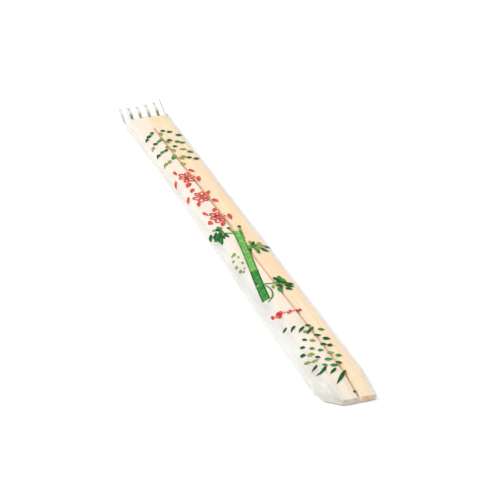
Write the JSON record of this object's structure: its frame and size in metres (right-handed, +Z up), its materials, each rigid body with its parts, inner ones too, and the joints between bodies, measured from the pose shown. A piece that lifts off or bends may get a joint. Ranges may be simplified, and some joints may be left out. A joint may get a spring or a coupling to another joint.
{
  "type": "bamboo chopsticks",
  "caption": "Joined pair of disposable bamboo chopsticks, sealed in a clear printed film sleeve with crimped ends and a back fin seal.",
  "frame": {"origin": "centre of the underside of the lying pack, on the surface it lies on", "axes": "+X along the pack from the flat end seal at the head towards the tips, +Y across it towards its straight side, +Z up"},
  "size_m": [0.214, 0.0174, 0.0068],
  "materials": {
    "bamboo": "planed, unvarnished",
    "film": "thin hazy clear film, printed in green and red"
  },
  "bodies": {
    "root": {"chopsticks": "bamboo", "wrapper": "film"}
  },
  "joints": []
}
